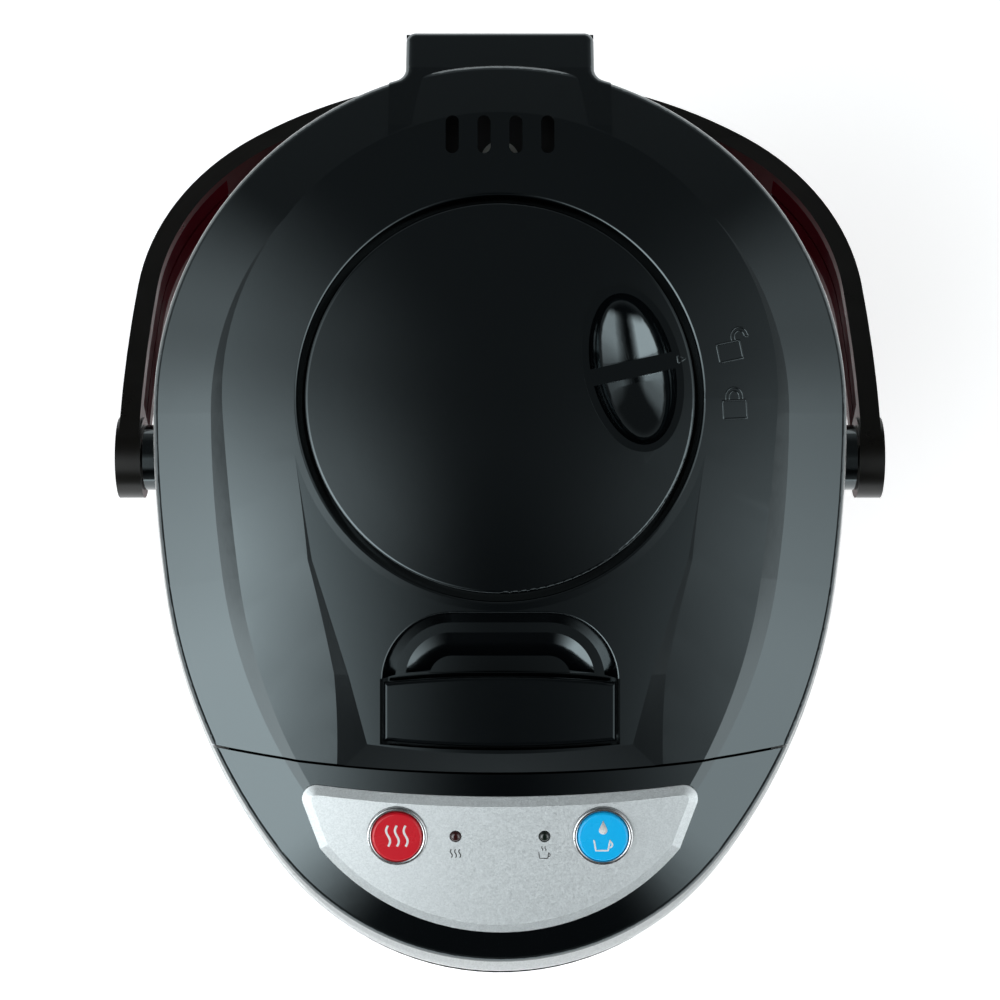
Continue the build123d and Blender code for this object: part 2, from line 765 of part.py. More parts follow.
with BuildPart() as head_top:
    add(crown(0.0, 0.0, EDGE_Z))
    # wall that goes down behind the split to the collar
    with BuildSketch(Plane.XY.offset(POT_RIM_Z)):
        add(head_outline(inset=RIM_INSET + 0.4))
    extrude(amount=EDGE_Z - POT_RIM_Z)
    with BuildSketch(Plane.XY.offset(POT_RIM_Z)):
        with Locations((0, SPLIT_CENTRE_Y)):
            Circle(SPLIT_R + 60)
            Circle(SPLIT_R + SPLIT_GAP / 2 + 2.5, mode=Mode.SUBTRACT)
    extrude(amount=EDGE_Z - POT_RIM_Z, mode=Mode.SUBTRACT)
    add(split_disc(SPLIT_R + SPLIT_GAP / 2, POT_RIM_Z - 1, 300), mode=Mode.SUBTRACT)
    add(head_room.part, mode=Mode.SUBTRACT)
    # seat and opening for the panel, slot for the latch bolt
    add(panel_prism(0.15, -PANEL_SEAT, 20), mode=Mode.SUBTRACT)
    add(panel_prism(-3.0, -12, 0), mode=Mode.SUBTRACT)
    add(
        block(-BOLT_HALF - 0.5, BOLT_HALF + 0.5, -116, -108, BOLT_LOW_Z - 0.5, BOLT_HIGH_Z + 0.5),
        mode=Mode.SUBTRACT,
    )
keep(head_top.part, "head_top")

with BuildPart() as control_panel:
    add(panel_prism(0.0, -PANEL_SEAT, PANEL_PROUD + 4))
    with Locations((0, DISK_Y, CROWN_Z - DOME_R)):
        Sphere(DOME_R + PANEL_PROUD, mode=Mode.INTERSECT)
    top_face = control_panel.faces().filter_by(GeomType.SPHERE)[0]
    chamfer(top_face.edges(), 2.9, 1.1, reference=top_face)
    for side in (-1, 1):
        add(on_panel(BEZEL_R + 0.1, side * BUTTON_X, -10, 10), mode=Mode.SUBTRACT)
        add(on_panel(LED_R + 0.1, side * LED_X, -10, 10), mode=Mode.SUBTRACT)
    with BuildSketch(PANEL.offset(-PANEL_SEAT)):
        with Locations((-48, 14), (48, 14), (-40, -4), (40, -4)):
            Circle(2)
    extrude(amount=-9.6)
keep(control_panel.part, "control_panel")

with BuildPart() as button_bezels:
    for side in (-1, 1):
        add(on_panel(BEZEL_R, side * BUTTON_X, -3.8, PANEL_PROUD + 0.3))
        add(on_panel(BUTTON_R + 0.15, side * BUTTON_X, -5, 5), mode=Mode.SUBTRACT)
    fillet(button_bezels.edges().group_by(PANEL_AXIS)[-1], 0.5)
keep(button_bezels.part, "button_bezels")


def push_button(x):
    """Round key with a retaining flange and a stem for its switch."""
    with BuildPart() as key:
        add(on_panel(BUTTON_R, x, -5.2, PANEL_PROUD + 0.7))
        fillet(key.edges().group_by(PANEL_AXIS)[-1], 0.8)
        add(on_panel(BUTTON_R + 0.9, x, -5.2, -4.2))
        add(on_panel(2.5, x, -9.4, -5.2))
    return key.part


keep(push_button(-BUTTON_X), "reboil_button")
keep(push_button(BUTTON_X), "dispense_button")


def lamp(x):
    """LED with a domed lens."""
    with BuildPart() as led:
        add(on_panel(LED_R, x, -6, PANEL_PROUD + 0.5))
        fillet(led.edges().group_by(PANEL_AXIS)[-1], 1.2)
    return led.part


keep(lamp(-LED_X), "heating_led")
keep(lamp(LED_X), "keep_warm_led")

BOARD_DEPTH = -13.4

with BuildPart() as panel_board:
    with BuildSketch(PANEL.offset(BOARD_DEPTH)):
        with Locations((0, 5)):
            RectangleRounded(104, 26, 3)
    extrude(amount=-1.6)
    with BuildSketch(PANEL.offset(BOARD_DEPTH)):
        with Locations((-BUTTON_X, BUTTON_V), (BUTTON_X, BUTTON_V)):
            Rectangle(6, 6)
    extrude(amount=1.4)
    with BuildSketch(PANEL.offset(BOARD_DEPTH)):
        with Locations((-LED_X, BUTTON_V), (LED_X, BUTTON_V)):
            Circle(1.2)
    extrude(amount=7.4)
keep(panel_board.part, "panel_board")

# ---------------------------------------------------------------- lid
CONSOLE = ((64.7, 0.0), (57.3, -45.0), (46.2, -80.0), (40.5, -101.1))
CONSOLE_Z = dome_height(dist(CONSOLE[0], (0, DISK_Y)))
CONSOLE_SAG = 3.0
CONSOLE_DEPTH = 12.0
CONSOLE_FLANK = 15.0


def console_outline(grow):
    """Platform outline as a sketch, its flanks and its bowed front moved outwards."""
    right = [(x + grow, y) for x, y in CONSOLE[:-1]]
    right.append((CONSOLE[-1][0] + grow, CONSOLE[-1][1] - grow))
    left = [(-x, y) for x, y in reversed(right)]
    with BuildSketch(Plane.XY, mode=Mode.PRIVATE) as platform:
        with BuildLine():
            Polyline(left[-1], *right)
            ThreePointArc(right[-1], (0, right[-1][1] - CONSOLE_SAG), left[0])
            Polyline(*left)
        make_face()
    return platform.sketch


def console():
    """Raised platform in front of the disk whose flanks grow from nothing as the dome falls."""
    with BuildPart() as form:
        with BuildSketch(Plane.XY.offset(CONSOLE_Z - CONSOLE_DEPTH)):
            add(console_outline(CONSOLE_FLANK))
        with BuildSketch(Plane.XY.offset(CONSOLE_Z)):
            add(console_outline(0.0))
        loft(ruled=True)
    return form.part


def well_outline(grow):
    """Finger well as a sketch: straight front, rounded back."""
    half = WELL_HALF + grow
    with BuildSketch(Plane.XY, mode=Mode.PRIVATE) as well:
        with BuildLine():
            Polyline(
                (-half, WELL_FRONT_Y),
                (half, WELL_FRONT_Y),
                (half, WELL_BACK_Y + grow),
                (-half, WELL_BACK_Y + grow),
                close=True,
            )
        make_face()
        fillet(well.vertices().group_by(Axis.Y)[-1], WELL_CORNER_R + grow)
    return well.sketch


def flap_outline(grow):
    """Latch flap as a sketch: both long edges bow, the front one forwards, the back one backwards."""
    half = FLAP_HALF + grow
    front = FLAP_FRONT_Y - grow
    back = FLAP_BACK_Y + grow
    with BuildSketch(Plane.XY, mode=Mode.PRIVATE) as flap:
        with BuildLine():
            ThreePointArc((-half, back), (0, back + FLAP_SAG), (half, back))
            Line((half, back), (half, front))
            ThreePointArc((half, front), (0, front - FLAP_SAG), (-half, front))
            Line((-half, front), (-half, back))
        make_face()
    return flap.sketch


with BuildPart() as lid_room:
    add(crown(HEAD_WALL, HEAD_WALL, LID_Z))
    add(split_disc(SPLIT_R - SPLIT_GAP / 2 - 2.5, LID_Z - 1, 300), mode=Mode.INTERSECT)
    # room inside the hinge block
    with BuildSketch(Plane.YZ):
        with BuildLine():
            Polyline((78, LID_Z), (116.2, LID_Z), (116.2, 268), (106, 273), (88, 281), (78, 282), close=True)
        make_face()
    extrude(amount=BLOCK_HALF - 2.6, both=True)
    # what stays solid: press pocket, finger well, screw bosses
    add(z_cylinder(DISK_R + DISK_GAP + 2.5, 0, DISK_Y, LID_Z - 1, 300), mode=Mode.SUBTRACT)
    with BuildSketch(Plane.XY.offset(WELL_FLOOR_Z - 2.5)):
        add(well_outline(2.5))
    extrude(amount=30, mode=Mode.SUBTRACT)
    add(block(-FLAP_HALF - 3.6, FLAP_HALF + 3.6, -115, -82, WELL_FLOOR_Z - 2.5, 300), mode=Mode.SUBTRACT)
    with BuildSketch(Plane.XY.offset(BOWL_FLOOR_Z - 2)):
        add(well_outline(-BOWL_INSET + 2))
        with Locations((0, BOWL_FRONT_Y - 42)):
            Rectangle(100, 80, mode=Mode.SUBTRACT)
    extrude(amount=10, mode=Mode.SUBTRACT)
    for x, y in ((66, 62), (-66, 62), (62, -72), (-62, -72)):
        add(z_cylinder(4.5, x, y, LID_Z - 1, 300), mode=Mode.SUBTRACT)

with BuildPart() as well_bowl:
    # shallow bowl in the well's floor, behind the flap
    with BuildSketch(Plane.XY.offset(WELL_FLOOR_Z + 0.2)):
        add(well_outline(-BOWL_INSET))
    with BuildSketch(Plane.XY.offset(BOWL_FLOOR_Z)):
        add(well_outline(-BOWL_INSET - BOWL_SLOPE))
    loft()
    split(bisect_by=Plane.XZ.offset(-BOWL_FRONT_Y), keep=Keep.BOTTOM)

with BuildPart() as hinge_block:
    # plan: a rounded tongue that flares into the head's outline
    with BuildSketch(Plane.XY.offset(LID_Z)) as tongue:
        add(head_outline())
        with Locations((0, BLOCK_BACK_Y - 15)):
            Rectangle(2 * BLOCK_HALF, 30)
        roots = tongue.vertices().filter_by(lambda v: abs(abs(v.X) - BLOCK_HALF) < 0.1)
        fillet(roots.group_by(Axis.Y)[0], 4)
        fillet(tongue.vertices().group_by(Axis.Y)[-1], 3)
        with Locations((0, BLOCK_BACK_Y)):
            Rectangle(2 * BLOCK_HALF + 10, 80, mode=Mode.INTERSECT)
    extrude(amount=40)
    # side: a ramp from the dome down to the rounded back edge
    with BuildSketch(Plane.YZ):
        with BuildLine():
            Polyline(
                (70, LID_Z - 1),
                (BLOCK_BACK_Y + 4, LID_Z - 1),
                (BLOCK_BACK_Y + 4, 267.3),
                (107, 275.6),
                (88, 284.6),
                (70, 285.8),
                close=True,
            )
        make_face()
    extrude(amount=40, both=True, mode=Mode.INTERSECT)
    back = hinge_block.edges().filter_by(lambda e: e.center().Y > 114 and e.center().Z > 268)
    fillet(back, 2.4)

with BuildPart() as lid_shell:
    add(crown(0.0, 0.0, LID_Z))
    add(console())
    add(split_disc(SPLIT_R - SPLIT_GAP / 2, LID_Z - 1, 300), mode=Mode.INTERSECT)
    add(hinge_block.part)
    add(lid_room.part, mode=Mode.SUBTRACT)
    # cheeks that take the hinge pin
    for side in (-1, 1):
        with BuildSketch(Plane.YZ.offset(side * CHEEK_IN)):
            with Locations((HINGE_Y, HINGE_Z)):
                Circle(CHEEK_R)
            with Locations((HINGE_Y, (HINGE_Z + LID_Z + 3) / 2)):
                Rectangle(2 * CHEEK_R, LID_Z + 3 - HINGE_Z)
        extrude(amount=side * (BLOCK_HALF - CHEEK_IN))
    add(x_cylinder(HINGE_PIN_R + RUNNING, -40, 40, HINGE_Y, HINGE_Z), mode=Mode.SUBTRACT)
    # pocket for the press disk, with the hole for its piston
    add(z_cylinder(DISK_R + DISK_GAP, 0, DISK_Y, POCKET_Z, 300), mode=Mode.SUBTRACT)
    pocket_rim_z = dome_height(DISK_R + DISK_GAP)
    fillet(lid_shell.edges().filter_by(lambda e: abs(e.center().Z - pocket_rim_z) < 0.01), 0.8)
    add(z_cylinder(HUB_R + 4, 0, DISK_Y, LID_Z - 1, 300), mode=Mode.SUBTRACT)
    # finger well in front of the disk
    with BuildSketch(Plane.XY.offset(CROWN_Z + 1)):
        add(well_outline(0.0))
    with BuildSketch(Plane.XY.offset(WELL_FLOOR_Z)):
        add(well_outline(-WELL_SLOPE))
    loft(mode=Mode.SUBTRACT)
    add(well_bowl.part, mode=Mode.SUBTRACT)
    with BuildSketch(Plane.XY.offset(WELL_FLOOR_Z)):
        add(flap_outline(NOTCH_GAP))
    extrude(amount=30, mode=Mode.SUBTRACT)
    well_rim = lid_shell.edges().filter_by(GeomType.CIRCLE, reverse=True)
    well_rim = well_rim.filter_by(lambda e: abs(e.center().Z - CONSOLE_Z) < 0.01)
    well_rim = well_rim.filter_by(lambda e: abs(e.center().X) < WELL_HALF and e.center().Y > FLAP_BACK_Y)
    fillet(well_rim, 0.5)
    # ears for the latch pin, slot for the latch arm, hole for the bolt
    for side in (-1, 1):
        with BuildSketch(Plane.YZ.offset(side * 29)):
            with Locations((LATCH_Y, LATCH_Z)):
                Circle(LATCH_EAR_R)
            with Locations((LATCH_Y, (LATCH_Z + WELL_FLOOR_Z - 1) / 2)):
                Rectangle(2 * LATCH_EAR_R, LATCH_Z - WELL_FLOOR_Z + 1)
        extrude(amount=side * 3)
    add(x_cylinder(LATCH_PIN_R, -32.5, 32.5, LATCH_Y, LATCH_Z), mode=Mode.SUBTRACT)
    add(block(-4.6, 4.6, -100.4, -88, WELL_FLOOR_Z - 5, WELL_FLOOR_Z + 1), mode=Mode.SUBTRACT)
    add(
        block(-BOLT_HALF - GAP, BOLT_HALF + GAP, -112, -105, BOLT_LOW_Z - GAP, BOLT_HIGH_Z + GAP),
        mode=Mode.SUBTRACT,
    )
    # steam vents
    with BuildSketch(Plane.XY.offset(CROWN_Z + 5)):
        with Locations((0, 85)):
            with GridLocations(9.73, 0, 4, 1):
                SlotOverall(11.7, 4.0, rotation=90)
    extrude(amount=-30, mode=Mode.SUBTRACT)
    for x, y in ((66, 62), (-66, 62), (62, -72), (-62, -72)):
        add(z_cylinder(1.4, x, y, LID_Z - 1, LID_Z + 8), mode=Mode.SUBTRACT)
keep(lid_shell.part, "lid_shell")

STEAM_PATH = (
    (0, 60, 221.5),
    (0, 60, 250),
    (0, 79, 259),
    (0, 79, 270),
)
PLUG_Z = 219.0
PLATE_Z = LID_Z - 2.5
PLUG_TOP_R = 74.0
PLUG_LOW_R = 70.0
SEAL_Z = POT_RIM_Z + POT_WALL + GAP
PISTON_Z = 258.0

with BuildPart() as lid_base:
    with BuildSketch(Plane.XY.offset(PLATE_Z)):
        add(head_outline(inset=RIM_INSET + 1.0))
        Circle(70, mode=Mode.SUBTRACT)
    extrude(amount=LID_Z - PLATE_Z)
    add(split_disc(SPLIT_R - 4, PLATE_Z - 1, LID_Z + 1), mode=Mode.INTERSECT)
    # plug that hangs into the pot and carries the pump
    with BuildSketch(Plane.XZ):
        with BuildLine():
            Polyline(
                (0, PLUG_Z),
                (PLUG_LOW_R, PLUG_Z),
                (PLUG_TOP_R, SEAL_Z + 2.7),
                (88, SEAL_Z + 2.7),
                (88, SEAL_Z + 5.2),
                (PLUG_TOP_R, SEAL_Z + 5.2),
                (PLUG_TOP_R, LID_Z),
                (PLUG_TOP_R - 2.5, LID_Z),
                (PLUG_TOP_R - 2.5, SEAL_Z + 2.7),
                (PLUG_LOW_R - 2.5, PLUG_Z + 2.5),
                (0, PLUG_Z + 2.5),
                close=True,
            )
        make_face()
    revolve(axis=Axis.Z)
    # channel for the bolt
    add(block(-8.4, 8.4, -105.5, -84, LID_Z - 1, 267.5))
    add(
        block(-BOLT_HALF - GAP, BOLT_HALF + GAP, -110, -76, BOLT_LOW_Z - GAP, 275),
        mode=Mode.SUBTRACT,
    )
    add(pipe(STEAM_PATH, 8, 6.2, 0), mode=Mode.SUBTRACT)
    add(z_cylinder(5, 0, DISK_Y, PLUG_Z - 1, PLUG_Z + 5), mode=Mode.SUBTRACT)
    for x, y in ((66, 62), (-66, 62), (62, -72), (-62, -72)):
        add(z_cylinder(1.6, x, y, PLATE_Z - 1, LID_Z + 1), mode=Mode.SUBTRACT)
keep(lid_base.part, "lid_base")

with BuildPart() as steam_duct:
    add(pipe(STEAM_PATH, 8, 6.0, 4.8))
keep(steam_duct.part, "steam_duct")

with BuildPart() as inner_lid:
    with BuildSketch(Plane.XY.offset(PLUG_Z - 1.2)):
        Circle(PLUG_LOW_R + 2)
        Circle(5, mode=Mode.SUBTRACT)
        with Locations((0, 60)):
            Circle(3, mode=Mode.SUBTRACT)
    extrude(amount=1.2)
    with BuildSketch(Plane.XZ):
        with Locations((PLUG_LOW_R + 1.4, PLUG_Z + 1)):
            Rectangle(1.2, 4.4)
    revolve(axis=Axis.Z)
keep(inner_lid.part, "inner_lid")

with BuildPart() as lid_seal:
    with BuildSketch(Plane.XZ):
        with BuildLine():
            Polyline(
                (76, SEAL_Z + 0.8),
                (79.5, SEAL_Z),
                (86, SEAL_Z),
                (86, SEAL_Z + 2.7),
                (76, SEAL_Z + 2.7),
                close=True,
            )
        make_face()
    revolve(axis=Axis.Z)
keep(lid_seal.part, "lid_seal")

with BuildPart() as lid_screws:
    for x, y in ((66, 62), (-66, 62), (62, -72), (-62, -72)):
        add(z_cylinder(3, x, y, PLATE_Z - 2, PLATE_Z))
        add(z_cylinder(1.4, x, y, PLATE_Z - 1, LID_Z + 7))
keep(lid_screws.part, "lid_screws")

# bellows: outer and inner pleats on one zigzag
BELLOWS_LOW_Z = PLUG_Z + 2.5
PLEATS = 6
BELLOWS_OUT_R = 49.0
BELLOWS_IN_R = 42.0
BELLOWS_WALL = 1.2
BELLOWS_TOP_Z = PISTON_Z - 0.1
pleat = (BELLOWS_TOP_Z - BELLOWS_LOW_Z) / PLEATS
outer_zigzag = []
inner_zigzag = []
for n in range(PLEATS + 1):
    z = BELLOWS_LOW_Z + n * pleat
    outer_zigzag.append((BELLOWS_IN_R, z))
    inner_zigzag.append((BELLOWS_IN_R - BELLOWS_WALL, z))
    if n < PLEATS:
        outer_zigzag.append((BELLOWS_OUT_R, z + pleat / 2))
        inner_zigzag.append((BELLOWS_OUT_R - BELLOWS_WALL - 0.8, z + pleat / 2))

with BuildPart() as bellows:
    with BuildSketch(Plane.XZ.offset(-DISK_Y)):
        with BuildLine():
            Polyline(*outer_zigzag, *reversed(inner_zigzag), close=True)
        make_face()
    revolve(axis=Axis((0, DISK_Y, 0), (0, 0, 1)))
keep(bellows.part, "bellows")

with BuildPart() as return_spring:
    add(coil(20, 0.9, BELLOWS_LOW_Z, BELLOWS_TOP_Z, 5))
keep(return_spring.part, "return_spring")

with BuildPart() as press_piston:
    add(z_cylinder(BELLOWS_OUT_R, 0, DISK_Y, PISTON_Z, PISTON_Z + 2))
    add(z_cylinder(HUB_R, 0, DISK_Y, PISTON_Z, 286.8))
    add(z_cylinder(HUB_R - 2.5, 0, DISK_Y, PISTON_Z + 2, 290), mode=Mode.SUBTRACT)
keep(press_piston.part, "press_piston")


DISK_LOW_Z = CROWN_Z - 11

# bowls of the finger recess: ellipsoids whose widest section lies on the disk's top
dimple_place = Pos(0, DISK_Y, CROWN_Z) * Rot(0, 0, DIMPLE_ANGLE) * Pos(DIMPLE_REACH, 0, 0)
below_top = Pos(0, 0, -20) * Box(60, 60, 40)


def dimple(grow):
    """Half ellipsoid of the finger recess, grown by a wall thickness."""
    size = (DIMPLE_RADIAL + grow, DIMPLE_TANGENT + grow, DIMPLE_DEPTH + grow)
    return dimple_place * (scale(Sphere(1), by=size) & below_top)


dimple_wall = dimple(2.2)
dimple_hollow = dimple(0.0) - dimple_place * Box(40, DIMPLE_BAR, 60)

with BuildPart() as press_disk:
    with BuildSketch(Plane.XZ.offset(-DISK_Y)) as section:
        with BuildLine():
            dome = ThreePointArc(
                (0, CROWN_Z),
                (DISK_R / 2, dome_height(DISK_R / 2)),
                (DISK_R, dome_height(DISK_R)),
            )
            Polyline(
                dome @ 1,
                (DISK_R, DISK_LOW_Z),
                (DISK_R - 2.6, DISK_LOW_Z),
                (DISK_R - 2.6, CROWN_Z - 5),
                (0, CROWN_Z - 5),
                dome @ 0,
            )
        make_face()
        fillet(section.vertices().sort_by(Axis.X)[-1:], 1.2)
    revolve(axis=Axis((0, DISK_Y, 0), (0, 0, 1)))
    add(z_cylinder(HUB_R + 3, 0, DISK_Y, CROWN_Z - 12, CROWN_Z - 1))
    add(z_cylinder(HUB_R + RUNNING, 0, DISK_Y, CROWN_Z - 13, CROWN_Z - 3), mode=Mode.SUBTRACT)
    add(dimple_wall)
    add(dimple_hollow, mode=Mode.SUBTRACT)
keep(press_disk.part, "press_disk")

# ---------------------------------------------------------------- latch
with BuildPart() as latch_lever:
    with BuildSketch(Plane.XY.offset(FLAP_TOP_Z)):
        add(flap_outline(0.0))
    extrude(amount=-FLAP_DEPTH)
    fillet(latch_lever.edges().group_by(Axis.Z)[-1], 1.2)
    add(block(-FLAP_HALF + 2.5, FLAP_HALF - 2.5, LATCH_Y - 1.2, -70, 270, FLAP_TOP_Z - 2.6), mode=Mode.SUBTRACT)
    # rooms for the lid's ears and for the spring
    for side in (-1, 1):
        add(x_cylinder(LATCH_EAR_R + GAP, side * 28.7, side * 32.3, LATCH_Y, LATCH_Z), mode=Mode.SUBTRACT)
        add(block(side * 30.5 - 1.8, side * 30.5 + 1.8, -110, LATCH_Y + 3, 270, LATCH_Z), mode=Mode.SUBTRACT)
    add(x_cylinder(LATCH_EAR_R + GAP, 8.5, 18.7, LATCH_Y, LATCH_Z), mode=Mode.SUBTRACT)
    # lugs on the pin, and the arm that draws the bolt
    for side in (-1, 1):
        with BuildSketch(Plane.YZ.offset(side * 24.5)):
            with Locations((LATCH_Y, LATCH_Z)):
                Circle(2.6)
        extrude(amount=side * 4)
    with BuildSketch(Plane.YZ):
        with Locations((LATCH_Y, LATCH_Z - ARM_REACH)):
            Circle(2)
        with Locations((LATCH_Y, LATCH_Z - ARM_REACH / 2)):
            Rectangle(4, ARM_REACH)
        with Locations((LATCH_Y, LATCH_Z)):
            Circle(2.6)
    extrude(amount=3.6, both=True)
    add(
        x_cylinder(LATCH_PIN_R + RUNNING, -34, 34, LATCH_Y, LATCH_Z),
        mode=Mode.SUBTRACT,
    )
keep(latch_lever.part, "latch_lever")

with BuildPart() as latch_pin:
    add(x_cylinder(LATCH_PIN_R, -32, 32, LATCH_Y, LATCH_Z))
keep(latch_pin.part, "latch_pin")

with BuildPart() as latch_bolt:
    add(block(-BOLT_HALF, BOLT_HALF, BOLT_TIP_Y, -86, BOLT_LOW_Z, BOLT_HIGH_Z))
    chamfer(
        latch_bolt.edges().filter_by(Axis.X).group_by(Axis.Y)[0].sort_by(Axis.Z)[0],
        2.5,
    )
    add(block(-4.2, 4.2, LATCH_Y - 2.4, LATCH_Y + 2.4, BOLT_LOW_Z + 2, 275), mode=Mode.SUBTRACT)
keep(latch_bolt.part, "latch_bolt")

with BuildPart() as latch_spring:
    for turn in range(5):
        add(x_cylinder(LATCH_EAR_R, 9 + 2 * turn, 10.2 + 2 * turn, LATCH_Y, LATCH_Z))
    add(x_cylinder(LATCH_EAR_R - 0.3, 9, 18.2, LATCH_Y, LATCH_Z))
    add(x_cylinder(LATCH_PIN_R, 5, 20, LATCH_Y, LATCH_Z), mode=Mode.SUBTRACT)
keep(latch_spring.part, "latch_spring")

# ---------------------------------------------------------------- handle
drop = radians(HANDLE_DROP)
HOOP = Plane(
    (0, PIVOT_Y, PIVOT_Z),
    x_dir=(-1, 0, 0),
    z_dir=(0, sin(drop), cos(drop)),
)


def hoop_outline(inset):
    """Handle outline seen square on: straight arms, rounded corners, wide back."""
    half = HANDLE_HALF
    arcs = tangent_arcs(
        half,
        HANDLE_SIDE_R,
        HANDLE_CORNER_R,
        HANDLE_SIDE_ANGLE,
        HANDLE_CORNER_ANGLE,
        inset,
    )
    x = half - inset
    with BuildSketch(Plane.XY, mode=Mode.PRIVATE) as outline:
        with BuildLine():
            for (cx, cy), radius, start, sweep_angle in arcs:
                CenterArc((cx, cy - HANDLE_STRAIGHT), radius, start, sweep_angle)
            Polyline((-x, -HANDLE_STRAIGHT), (-x, 0), (x, 0), (x, -HANDLE_STRAIGHT))
        make_face()
    return outline.sketch


ARM_SIDE = Plane(
    (0, PIVOT_Y, PIVOT_Z),
    x_dir=(0, cos(drop), -sin(drop)),
    z_dir=(1, 0, 0),
)


def hoop_band(outer_inset, inner_inset, half_width):
    """Band between two insets of the handle outline, as a closed half hoop."""
    with BuildPart() as band:
        with BuildSketch(HOOP.offset(-half_width)):
            add(hoop_outline(outer_inset))
        extrude(amount=2 * half_width)
        with BuildSketch(HOOP.offset(-half_width - 1)):
            add(hoop_outline(inner_inset))
        extrude(amount=2 * half_width + 2, mode=Mode.SUBTRACT)
    return band.part


def arm_zone(near, far):
    """Box across both arms, between two distances from the pivot line."""
    with BuildPart() as zone:
        with BuildSketch(ARM_SIDE):
            with Locations(((near + far) / 2, 0)):
                Rectangle(far - near, 40)
        extrude(amount=140, both=True)
    return zone.part


COVER_NEAR = 15.0
COVER_FAR = 104.0
COVER_THICK = 1.4
COVER_HALF = 8.0
cover_form = hoop_band(HANDLE_THICK - COVER_THICK, HANDLE_THICK, COVER_HALF)
cover_form = cover_form & arm_zone(COVER_NEAR, COVER_FAR)
groove = hoop_band(HANDLE_THICK - 0.6, HANDLE_THICK + 1, 0.6)

with BuildPart() as handle_bail:
    add(hoop_band(0.0, HANDLE_THICK, HANDLE_WIDTH / 2))
    # the strap narrows towards the back
    with BuildSketch(ARM_SIDE):
        with BuildLine():
            Polyline(
                (-5, HANDLE_WIDTH / 2),
                (20, HANDLE_WIDTH / 2),
                (120, HANDLE_BACK_WIDTH / 2),
                (160, HANDLE_BACK_WIDTH / 2),
                (160, -HANDLE_BACK_WIDTH / 2),
                (120, -HANDLE_BACK_WIDTH / 2),
                (20, -HANDLE_WIDTH / 2),
                (-5, -HANDLE_WIDTH / 2),
                close=True,
            )
        make_face()
    extrude(amount=140, both=True, mode=Mode.INTERSECT)
    for side in (-1, 1):
        add(x_cylinder(HANDLE_WIDTH / 2, side * (BOSS_FACE + 0.4), side * 122.3, PIVOT_Y, PIVOT_Z))
        add(
            x_cylinder(PIVOT_PIN_R + RUNNING, side * 110, side * 119.6, PIVOT_Y, PIVOT_Z),
            mode=Mode.SUBTRACT,
        )
    add(cover_form, mode=Mode.SUBTRACT)
keep(handle_bail.part, "handle_bail")

with BuildPart() as handle_inner_cover:
    add(cover_form)
    add(groove, mode=Mode.SUBTRACT)
keep(handle_inner_cover.part, "handle_inner_cover")

print(len(finished), "pieces")
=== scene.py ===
import math

import bmesh
import bpy
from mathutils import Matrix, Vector
from mathutils.bvhtree import BVHTree


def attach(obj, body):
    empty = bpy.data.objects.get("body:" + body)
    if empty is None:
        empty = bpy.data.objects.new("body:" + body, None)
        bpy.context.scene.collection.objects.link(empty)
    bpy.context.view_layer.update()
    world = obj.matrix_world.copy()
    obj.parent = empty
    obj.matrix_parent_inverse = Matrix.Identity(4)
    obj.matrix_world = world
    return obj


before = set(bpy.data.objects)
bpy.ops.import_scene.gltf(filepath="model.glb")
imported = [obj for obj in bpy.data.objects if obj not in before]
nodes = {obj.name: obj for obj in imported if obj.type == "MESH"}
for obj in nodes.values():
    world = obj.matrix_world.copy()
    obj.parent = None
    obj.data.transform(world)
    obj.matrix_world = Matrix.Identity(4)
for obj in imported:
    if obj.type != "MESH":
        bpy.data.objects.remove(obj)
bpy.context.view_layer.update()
MM = 0.001


# ------------------------------------------------------------------ shader helpers
def new_material(name):
    """An empty node material with its Principled shader and output."""
    mat = bpy.data.materials.new(name)
    mat.use_nodes = True
    tree = mat.node_tree
    tree.nodes.clear()
    out = tree.nodes.new("ShaderNodeOutputMaterial")
    shader = tree.nodes.new("ShaderNodeBsdfPrincipled")
    tree.links.new(shader.outputs["BSDF"], out.inputs["Surface"])
    return mat, tree, shader


def maths(tree, operation, a, b=None):
    """One arithmetic node; numbers and sockets both go in."""
    node = tree.nodes.new("ShaderNodeMath")
    node.operation = operation
    for socket, value in zip(node.inputs, (a, b)):
        if isinstance(value, (int, float)):
            socket.default_value = value
        elif value is not None:
            tree.links.new(value, socket)
    return node.outputs["Value"]


def axes(tree, vector):
    """The X, Y and Z sockets of a vector socket."""
    node = tree.nodes.new("ShaderNodeSeparateXYZ")
    tree.links.new(vector, node.inputs["Vector"])
    return node.outputs["X"], node.outputs["Y"], node.outputs["Z"]


def position(tree):
    """Object coordinates in metres."""
    return tree.nodes.new("ShaderNodeTexCoord").outputs["Object"]


def noise(tree, per_metre, detail=2.0, stretch=(1, 1, 1), roughness=0.5):
    """Noise value whose cells are about 1 / per_metre metres."""
    mapping = tree.nodes.new("ShaderNodeMapping")
    mapping.inputs["Scale"].default_value = stretch
    tree.links.new(position(tree), mapping.inputs["Vector"])
    node = tree.nodes.new("ShaderNodeTexNoise")
    node.inputs["Scale"].default_value = per_metre
    node.inputs["Detail"].default_value = detail
    node.inputs["Roughness"].default_value = roughness
    tree.links.new(mapping.outputs["Vector"], node.inputs["Vector"])
    return node.outputs["Fac"]


def spread(tree, value, low, high, from_low=0.3, from_high=0.7):
    """Maps a noise value onto a range."""
    node = tree.nodes.new("ShaderNodeMapRange")
    node.inputs["From Min"].default_value = from_low
    node.inputs["From Max"].default_value = from_high
    node.inputs["To Min"].default_value = low
    node.inputs["To Max"].default_value = high
    tree.links.new(value, node.inputs["Value"])
    return node.outputs["Result"]


